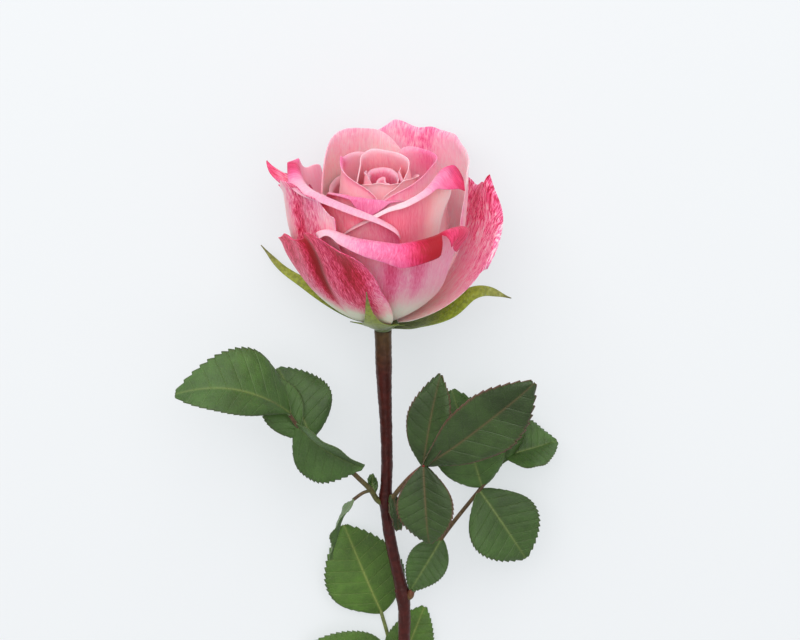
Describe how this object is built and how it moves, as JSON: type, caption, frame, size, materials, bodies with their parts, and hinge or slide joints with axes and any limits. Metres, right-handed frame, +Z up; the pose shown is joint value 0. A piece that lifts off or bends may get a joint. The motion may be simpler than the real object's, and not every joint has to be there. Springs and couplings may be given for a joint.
{
  "type": "cut rose",
  "caption": "Open two-coloured rose on a long leafy stem, cut and laid down: bloom of layered petals, calyx with sepals and compound serrated leaves.",
  "frame": {"origin": "middle of the rose's bounding box, on the surface it lies on", "axes": "+Y from the cut end of the stem towards the bloom, +Z up from the surface, +X to the right as the camera sees it"},
  "size_m": [0.1384, 0.3028, 0.0713],
  "materials": {
    "stem": "smooth maroon bark, satin",
    "calyx": "matt green, finely hairy",
    "petal": "velvety, pale pink with crimson margins and streaks",
    "leaf": "satin green with paler veins",
    "leaf_dark": "satin dark green with reddish midrib"
  },
  "bodies": {
    "root": {"stem": "stem", "calyx": "calyx", "bloom": "petal", "leaf_left": "leaf", "leaf_right_front": "leaf_dark", "leaf_right_back": "leaf", "leaf_low_back": "leaf"}
  },
  "joints": []
}
